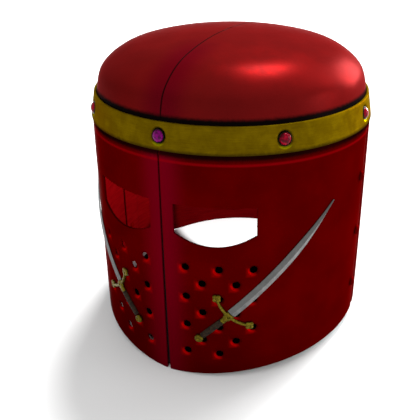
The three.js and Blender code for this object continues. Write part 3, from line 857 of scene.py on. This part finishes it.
back = flat_sheet("back_wall", JOGGLE_END_DEG, 360 - JOGGLE_END_DEG, BACK_COLUMNS,
                  FOOT_ROW, TOP_ROW, ROWS_BELOW + ROWS_ABOVE)
edit(back)
for edge, sign in ((JOGGLE_END_DEG, -1), (360 - JOGGLE_END_DEG, 1)):
    for step in (*JOGGLE_STEPS, *[(TONGUE_END_DEG - TONGUE_START_DEG) / TONGUE_COLUMNS] * TONGUE_COLUMNS):
        extend(back, lambda at, edge=edge, sign=sign: (at.x - edge * ARC) * sign > -0.01,
               (sign * step * ARC, 0, 0))
        edge += sign * step
add_neck_rows(back)
pick(back, "faces", lambda at: at.z > NECK_BEND_TOP and tongue_depth(at.x / ARC) > 0)
bpy.ops.mesh.delete(type="FACE")
leave()
rolled(back, depth_at=tongue_depth, foot=FOOT_ROW)
finish_with(back, "SOLIDIFY", thickness=PLATE * MM, offset=-1)
soft_edges(back, 0.35)
smooth(back)
report(back)

# %% Strap behind the front seam
STRAP_HALF_DEG = 3.6
STRAP_THICKNESS = 1.6
STRAP_RISE = 3.0
STRAP_TOP = 204.0
strap = flat_sheet("seam_backing", -STRAP_HALF_DEG, STRAP_HALF_DEG, 8, FOOT_ROW, STRAP_TOP, 40)
rolled(strap, depth_at=lambda degrees: STEP_IN, foot=FOOT_ROW, foot_rise=STRAP_RISE)
finish_with(strap, "SOLIDIFY", thickness=STRAP_THICKNESS * MM, offset=-1)
soft_edges(strap, 0.3)
smooth(strap)
report(strap)

# %% [markdown]
# ## The gilt band
# A strip of gilt brass is bent round the joint of crown and barrel, with a round dish
# hammered into it for each of the eight settings. One eighth is worked flat as a
# thin block: a dish is inset into its face and bridged through to its back. It is
# then copied round and joined.

# %% Band
STONES = 8
BAND_COLUMNS, BAND_ROWS = 44, 10
BEZEL_RADIUS = 5.4
DISH_RADIUS = 7.3
SECTOR = 360 / STONES
band_height = BAND_TOP - BAND_FOOT
band = flat_sheet("gilt_brow_band", -SECTOR / 2, SECTOR / 2, BAND_COLUMNS, BAND_FOOT, BAND_TOP, BAND_ROWS)
edit(band)
bpy.ops.mesh.select_all(action="SELECT")
bpy.ops.mesh.extrude_region_move(TRANSFORM_OT_translate={"value": (0, BAND_THICKNESS * MM, 0)})
bpy.ops.mesh.select_all(action="SELECT")
bpy.ops.mesh.normals_make_consistent(inside=False)
block_x, block_z = 4 * SECTOR * ARC / BAND_COLUMNS, 4 * band_height / BAND_ROWS


def pick_block(layer):
    pick(band, "faces", lambda at: abs(at.x) < block_x and abs(at.z - BAND_MIDDLE) < block_z
         and abs(at.y - layer) < 0.05)


pick_block(BAND_THICKNESS)
bpy.ops.mesh.inset(thickness=0.5 * MM)
bpy.ops.mesh.dissolve_faces()
round_off(band, (0, BAND_THICKNESS, BAND_MIDDLE), BEZEL_RADIUS + FIT_GAP)
pick_block(0)
bpy.ops.mesh.inset(thickness=0.3 * MM)
bpy.ops.mesh.dissolve_faces()
round_off(band, (0, 0, BAND_MIDDLE), DISH_RADIUS)
for inward, down in ((0.3, 0.12), (0.45, 0.42), (0.45, 0.46), (0.4, 0.3)):
    bpy.ops.mesh.inset(thickness=inward * MM, depth=-down * MM)
pick(band, "faces", lambda at: math.hypot(at.x, at.z - BAND_MIDDLE) < 0.1)
bpy.ops.mesh.bridge_edge_loops()
pick(band, "faces", lambda at: abs(abs(at.x) - SECTOR / 2 * ARC) < 0.01)
bpy.ops.mesh.delete(type="FACE")
leave()


def bent_to_band(piece, sector):
    for point in piece.data.vertices:
        arc, inward, height = point.co / MM
        radius = band_outer(height) - inward
        angle = math.radians(arc / ARC + sector * SECTOR)
        point.co = Vector((radius * math.sin(angle), -radius * math.cos(angle), height)) * MM
    return piece


sectors = [bent_to_band(copy_of(band, "sector"), i) for i in range(1, STONES)]
band = joined([bent_to_band(band, 0), *sectors], "gilt_brow_band")
mend(band)
soft_edges(band, 0.4)
smooth(band)
report(band)

# %% [markdown]
# ## Settings and stones
# Each stone sits in a turned silver cup whose lip is pressed over its girdle. Cup and
# cabochon are turned once and copied to the eight places.

# %% Bezel and cabochon
STONE_RADIUS = 4.5
STONE_GIRDLE = 1.6
STONE_DOME = 2.9
BEZEL_HEIGHT = 2.1
BEZEL_BORE = 4.75
BEZEL_FLOOR = 0.5
seat_depth = BAND_THICKNESS * math.cos(BAND_TILT)
seat_radius = band_outer(BAND_MIDDLE) - seat_depth * math.cos(BAND_TILT)
seat_height = BAND_MIDDLE - seat_depth * math.sin(BAND_TILT)


def quarter_round(radius, rise, foot, steps):
    """Rings of a dome from its foot to its pole."""
    turns = [i / steps * math.pi / 2 for i in range(steps)]
    return [(radius * math.cos(t), foot + rise * math.sin(t)) for t in turns] + [(0, foot + rise)]


bezel = turned("setting_1", [
    (BEZEL_RADIUS - 0.2, 0), (BEZEL_RADIUS, 0.2), (BEZEL_RADIUS, 1.3), (BEZEL_RADIUS - 0.12, 1.6),
    (BEZEL_RADIUS - 0.12, BEZEL_HEIGHT - 0.25), (BEZEL_RADIUS - 0.3, BEZEL_HEIGHT),
    (BEZEL_BORE + 0.1, BEZEL_HEIGHT - 0.05), (BEZEL_BORE, BEZEL_HEIGHT - 0.3), (BEZEL_BORE, BEZEL_FLOOR),
    (0, BEZEL_FLOOR)], 64)
stone = turned("cabochon_1", [
    (STONE_RADIUS - 0.3, BEZEL_FLOOR + FIT_GAP), (STONE_RADIUS, BEZEL_FLOOR + 2 * FIT_GAP),
    *quarter_round(STONE_RADIUS, STONE_DOME, STONE_GIRDLE, 14)], 48)
smooth(bezel)
smooth(stone)
settings, stones = [bezel], [stone]
for i in range(1, STONES):
    settings.append(copy_of(bezel, f"setting_{i + 1}"))
    stones.append(copy_of(stone, f"cabochon_{i + 1}"))
for i in range(STONES):
    for piece in (settings[i], stones[i]):
        aimed(piece, i * SECTOR, seat_radius, seat_height, BAND_TILT)
report(bezel)
report(stone)

# %% [markdown]
# ## Side rivets
# Three rivets on each side hold the back plate under the front plates. Each is one forged
# shape: a domed head outside, a shank through both plates, and a tail hammered flat inside.
# The plates are drilled a little wider than the shank, so that no two pieces share space.

# %% Rivets
RIVET_DEG = 89.3
RIVET_HEIGHTS = [165.7, 113.0, 57.1]
TAIL_SEAT = -2 * PLATE - 2 * FIT_GAP
RIVET_BORE = 2.15
SHANK_RADIUS = 1.9
rivet = turned("rivet", [
    (1.6, TAIL_SEAT - 1.2), (2.6, TAIL_SEAT - 1.0), (3.0, TAIL_SEAT - 0.3), (2.9, TAIL_SEAT),
    (SHANK_RADIUS, TAIL_SEAT), (SHANK_RADIUS, FIT_GAP), (4.2, FIT_GAP),
    *quarter_round(4.4, 2.4, FIT_GAP + 0.2, 9)], 32)
smooth(rivet)
rivets = {}
for label, side in (("left", 1), ("right", -1)):
    for i, height in enumerate(RIVET_HEIGHTS):
        piece = copy_of(rivet, f"hammered_rivet_{label}_{i + 1}")
        aimed(piece, side * RIVET_DEG, barrel_radius(height), height)
        rivets[f"side_rivet_{label}_{i + 1}"] = piece
bpy.data.objects.remove(rivet)
report(piece)

# %% Rivet holes
drill = turned("drill", [(RIVET_BORE, TAIL_SEAT - 2), (RIVET_BORE, 1.5), (0, 1.5)], 32)
for side, plate in ((1, front_left), (-1, front_right)):
    drills = [aimed(copy_of(drill, "drill_copy"), side * RIVET_DEG, barrel_radius(height), height)
              for height in RIVET_HEIGHTS]
    bits = joined(drills, "drills")
    for drilled in (plate, back):
        finish_with(drilled, "BOOLEAN", operation="DIFFERENCE", object=bits, solver="EXACT")
    bpy.data.objects.remove(bits)
bpy.data.objects.remove(drill)
report(front_left)
report(back)

# %% [markdown]
# ## The applied swords
# A small sword lies on each cheek: a ground blade of flat diamond section, a cast hilt
# with two quillons that end in fourfold knobs, a grip wound with leather and a round
# pommel. Each part is worked flat, along +X from the middle of the guard, and then
# wrapped on to the barrel at the sword's slant.

# %% Laying a flat part on the cheek
def on_cheek(piece):
    cos, sin = math.cos(SWORD_ANGLE), math.sin(SWORD_ANGLE)
    for point in piece.data.vertices:
        along, across, off = point.co / MM
        arc = SWORD_HUB_ARC + along * cos - across * sin
        height = SWORD_HUB_HEIGHT + along * sin + across * cos
        radius = barrel_radius(height) + FIT_GAP + off
        angle = arc / CHEEK_RADIUS
        point.co = Vector((radius * math.sin(angle), -radius * math.cos(angle), height)) * MM
    return piece


def flat_bar(name, start, end, segments, columns, half_width, thickness, sweep=lambda t: 0.0):
    """A bar lying on the XY plane: a grid shaped by its widths, thickened down to the wall."""
    bpy.ops.object.select_all(action="DESELECT")
    bpy.ops.mesh.primitive_grid_add(x_subdivisions=segments, y_subdivisions=columns, size=1)
    bar = bpy.context.object
    bar.name = name
    edit(bar)
    bpy.ops.mesh.select_all(action="SELECT")
    bpy.ops.mesh.extrude_region_move(TRANSFORM_OT_translate={"value": (0, 0, 1)})
    leave()
    for point in bar.data.vertices:
        t, across = point.co.x + 0.5, 2 * point.co.y
        off = thickness(t, across) if point.co.z > 0.5 else 0.0
        point.co = Vector((blend_between(start, end, t), sweep(t) + across * half_width(t), off)) * MM
    mend(bar)
    return bar


# %% Blade
BLADE_START, BLADE_TIP = 3.4, 131.5
BLADE_HALF_WIDTH = 4.2
TAPER_START = 0.55


def blade_half_width(t):
    towards_tip = clamped((t - TAPER_START) / (1 - TAPER_START))
    return blend_between(BLADE_HALF_WIDTH, 0.25, towards_tip ** 1.6)


def blade_section(t, across):
    thin = 1 - 0.45 * clamped((t - TAPER_START) / (1 - TAPER_START)) ** 2
    return 0.35 + (1.75 - 0.35) * (1 - abs(across)) * thin


blade = flat_bar("sword_blade", BLADE_START, BLADE_TIP, 72, 8, blade_half_width, blade_section)
on_cheek(blade)
smooth(blade, 14)
report(blade)


# %% Guard, cast in one with its knobs
QUILLON_REACH, QUILLON_SWEEP = 19.3, 5.5
GUARD_VOXEL = 0.22
FOIL_OFFSET, FOIL_RADIUS = 2.0, 2.0


def rounded_bar(name, start, end, half_width, height):
    return flat_bar(name, start, end, 12, 8, lambda t: half_width,
                    lambda t, across: height * (0.45 + 0.55 * math.sqrt(max(0, 1 - across * across))))


def quillon(side):
    arm = flat_bar("quillon", 0, QUILLON_REACH, 24, 8, lambda t: 1.45 - 0.25 * t,
                   lambda t, across: 2.0 * (0.4 + 0.6 * math.sqrt(max(0, 1 - across * across))),
                   lambda t: QUILLON_SWEEP * t * t)
    for point in arm.data.vertices:
        x, y, z = point.co
        point.co = (y, side * x, z)
    mend(arm)
    knob = []
    for i in range(4):
        foil = turned("foil", [(FOIL_RADIUS, 0), *quarter_round(FOIL_RADIUS, 1.0, 0.9, 6)], 24)
        turn = i * math.pi / 2
        foil_x = QUILLON_SWEEP + FOIL_OFFSET * math.cos(turn)
        foil_y = side * QUILLON_REACH + FOIL_OFFSET * math.sin(turn)
        foil.location = Vector((foil_x, foil_y, 0)) * MM
        knob.append(apply_place(foil))
    return [arm, *knob]


parts = [rounded_bar("hub", -3.0, 3.0, 3.6, 2.4), rounded_bar("collar", -7.6, 0, 2.5, 2.4),
         *quillon(1), *quillon(-1)]
guard = joined(parts, "sword_guard_cast")
finish_with(guard, "REMESH", mode="VOXEL", voxel_size=GUARD_VOXEL * MM, adaptivity=0.0)
finish_with(guard, "SMOOTH", factor=0.5, iterations=3)
pits = []
for x, y, radius in ((QUILLON_SWEEP, QUILLON_REACH, 1.35), (QUILLON_SWEEP, -QUILLON_REACH, 1.35),
                     (0, 0, 1.3)):
    pit = turned("pit", [(0.3, 1.0), (radius * 0.8, 1.25), (radius, 1.9), (radius * 1.2, 3.2),
                         (0, 3.2)], 24)
    pit.location = Vector((x, y, 0)) * MM
    pits.append(apply_place(pit))
punches = joined(pits, "pits")
finish_with(guard, "BOOLEAN", operation="DIFFERENCE", object=punches, solver="EXACT")
bpy.data.objects.remove(punches)
on_cheek(guard)
smooth(guard, 50)
report(guard)

# %% Grip and pommel
GRIP_START, GRIP_END = -7.9, -31.2
WIND_PITCH = 2.3
POMMEL_CENTRE = -35.4


def grip_section(t, across):
    along = blend_between(GRIP_END, GRIP_START, t)
    wound = abs(math.sin(math.pi * (along / WIND_PITCH + 0.35 * across)))
    return (2.1 + 0.5 * wound) * math.sqrt(max(0.04, 1 - 0.92 * across * across))


def grip_half_width(t):
    along = blend_between(GRIP_END, GRIP_START, t)
    return 2.6 + 0.2 * abs(math.sin(math.pi * along / WIND_PITCH)) + 0.1 * math.sin(math.pi * t)


grip = flat_bar("sword_grip", GRIP_END, GRIP_START, 120, 14, grip_half_width, grip_section)
on_cheek(grip)
smooth(grip, 60)
pommel = turned("sword_pommel", [
    (3.1, 0.0), (3.6, 0.5), (3.8, 1.2), (3.6, 2.0), (3.0, 2.6), (2.3, 2.9), (1.7, 2.85),
    (1.3, 2.3), (0.8, 2.0), (0, 1.9)], 40)
pommel.location = Vector((POMMEL_CENTRE, 0, 0)) * MM
apply_place(pommel)
on_cheek(pommel)
smooth(pommel, 60)
report(grip)
report(pommel)

# %% [markdown]
# ## Placing the pieces
# Each piece is leaned over with the helm, takes its finish, rides on the helm's one body
# and replaces the CAD part that it stands for. The boxes of the two are compared.

# %% Lean, finish and hand over every piece
INSIDE_CENTRE_HEIGHT = 150


def paint_inside(piece):
    """Gives the faces that look towards the middle of the helm the inside paint."""
    piece.data.materials.append(inside_paint)
    for face in piece.data.polygons:
        up = (INSIDE_CENTRE_HEIGHT * MM - face.center.z) * 0.6
        to_axis = Vector((-face.center.x, -face.center.y, up))
        if face.normal.dot(to_axis.normalized()) > 0.3:
            face.material_index = 1


def hand_over(piece, node, material, painted=False):
    piece.data.materials.clear()
    piece.data.materials.append(material)
    if painted:
        paint_inside(piece)
    piece.matrix_world = leaned
    apply_place(piece)
    corners = [piece.matrix_world @ Vector(c) for c in piece.bound_box]
    low = Vector([min(c[i] for c in corners) for i in range(3)])
    high = Vector([max(c[i] for c in corners) for i in range(3)])
    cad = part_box(node)
    off = max(max(abs(low[i] - cad[0][i]), abs(high[i] - cad[1][i])) for i in range(3))
    print(f"{piece.name}: within {off / MM:.2f} mm of {node}'s box")
    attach(piece, "root")
    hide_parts(node)


hand_over(crown, "crown", enamel_crown, painted=True)
hand_over(band, "brow_band", gilt)
hand_over(back, "back_plate", enamel_barrel, painted=True)
hand_over(strap, "seam_strap", forged)
for label, plate in (("left", front_left), ("right", front_right)):
    hand_over(plate, f"front_plate_{label}", enamel_barrel, painted=True)
for node, piece in rivets.items():
    hand_over(piece, node, enamel_barrel)
for i in range(STONES):
    hand_over(settings[i], f"bezel_{i + 1}", blackened)
    in_front = i == 0
    hand_over(stones[i], f"stone_{i + 1}",
              magenta_glass if in_front else red_glass)
for part, piece, slot, material in (
        ("blade", blade, "sword_steel", sword_steel), ("guard", guard, "hilt_brass", hilt_brass),
        ("grip", grip, "grip_leather", leather), ("pommel", pommel, "hilt_brass", hilt_brass)):
    other = mirrored(piece, f"cheek_{part}_right")
    piece.name = f"cheek_{part}_left"
    hand_over(piece, f"sword_{part}_left", material)
    hand_over(other, f"sword_{part}_right", material)

# %% [markdown]
# ## Floor, light and camera
# The helm stands on a plain pale floor. Most of the light comes from behind and from the
# right: a high soft sun behind, a strong low one at the rear right, two weak ones on that
# side, and an even white surround. Three props go beyond a plain studio. Two small lamps
# inside the helm light the inner wall and the floor that show through the sights, and a
# black felt pad on the floor inside, cut off at the rear, is painted shade: it darkens the
# floor seen through the breath holes, as the shade inside the helm would.

# %% Floor and pad
PAD_RADIUS = 115.0
PAD_SETBACK = -2.0
PAD_THICKNESS = 1.0
PAD_CUT_POINT, PAD_CUT_NORMAL = (-39, 27, 0), (-0.36, 1, 0)


def matt(name, hex_colour):
    """A dull finish for the stage."""
    return new_material(name, Roughness=1.0, Specular_IOR_Level=0.0, Base_Color=linear(hex_colour))[0]


bpy.ops.object.select_all(action="DESELECT")
bpy.ops.mesh.primitive_plane_add(size=12, location=(0, 0, 0))
floor = bpy.context.object
floor.name = "studio_floor"
floor.data.materials.append(matt("Matt studio paper", "#d2d2d2"))
# The black pad is painted shade: a dark sheet on the floor inside the helm, under the breath holes.
bpy.ops.object.select_all(action="DESELECT")
bpy.ops.mesh.primitive_cylinder_add(vertices=96, radius=PAD_RADIUS * MM, depth=PAD_THICKNESS * MM,
                                    location=(0, PAD_SETBACK * MM, PAD_THICKNESS / 2 * MM))
pad = bpy.context.object
pad.name = "shade_pad"
edit(pad)
bpy.ops.mesh.select_all(action="SELECT")
bpy.ops.mesh.bisect(plane_co=Vector(PAD_CUT_POINT) * MM, plane_no=PAD_CUT_NORMAL,
                    use_fill=True, clear_outer=True)
leave()
apply_place(pad)
pad.data.materials.append(matt("Black shade pad", "#121011"))


# %% Lights
def direction_from(azimuth, elevation):
    """From the helm towards a light: azimuth 0 is in front, 90 at the wearer's left."""
    a, e = math.radians(azimuth), math.radians(elevation)
    return Vector((math.sin(a) * math.cos(e), -math.cos(a) * math.cos(e), math.sin(e)))


def add_sun(name, azimuth, elevation, strength, softness):
    bpy.ops.object.light_add(type="SUN", location=direction_from(azimuth, elevation) * 2)
    sun = bpy.context.object
    sun.name = name
    sun.data.energy = strength
    sun.data.angle = math.radians(softness)
    sun.rotation_euler = direction_from(azimuth, elevation).to_track_quat("Z", "Y").to_euler()


LAMP_RADIUS = 4


def add_spot(name, start, target, power, cone, blend):
    start, target = Vector(start) * MM, Vector(target) * MM
    bpy.ops.object.light_add(type="SPOT", location=start)
    spot = bpy.context.object
    spot.name = name
    spot.data.energy = power
    spot.data.spot_size = math.radians(cone)
    spot.data.spot_blend = blend
    spot.data.shadow_soft_size = LAMP_RADIUS * MM
    spot.visible_camera = False
    spot.rotation_euler = (start - target).to_track_quat("Z", "Y").to_euler()


add_sun("key", 180, 55, 5.6, 16)
add_sun("rear_right", 160, 8, 13.0, 30)
add_sun("right", 110, 8, 1.3, 30)
add_sun("upper_right", 150, 35, 0.8, 30)
add_spot("inside_rear", (40, -70, 200), (-50, 105, 25), 6.5, 34, 0.25)
add_spot("inside_right", (70, -20, 165), (-122, -10, 95), 8.0, 38, 0.25)

world = bpy.data.worlds.new("white surround")
bpy.context.scene.world = world
world.use_nodes = True
background = world.node_tree.nodes["Background"]
background.inputs["Color"].default_value = (1, 1, 1, 1)
background.inputs["Strength"].default_value = 1.1

# %% Camera
CAMERA_AZIMUTH, CAMERA_ELEVATION = 26.29, 29.884
CAMERA_DISTANCE = 589.3
AIM_HEIGHT = 70.68
back_from_aim = direction_from(CAMERA_AZIMUTH, CAMERA_ELEVATION)
camera_data = bpy.data.cameras.new("camera")
camera_data.lens = 48.96
camera_data.sensor_width = 36
camera_data.shift_x, camera_data.shift_y = -0.051, 0.067
camera_data.clip_start = 0.01
camera = bpy.data.objects.new("camera", camera_data)
bpy.context.scene.collection.objects.link(camera)
in_helm = Matrix.Translation((Vector((0, 0, AIM_HEIGHT)) + back_from_aim * CAMERA_DISTANCE) * MM)
camera.matrix_world = leaned @ in_helm @ back_from_aim.to_track_quat("Z", "Y").to_matrix().to_4x4()
bpy.context.scene.camera = camera
bpy.context.scene.view_settings.view_transform = "Standard"
print("camera at", [round(v, 4) for v in camera.location])
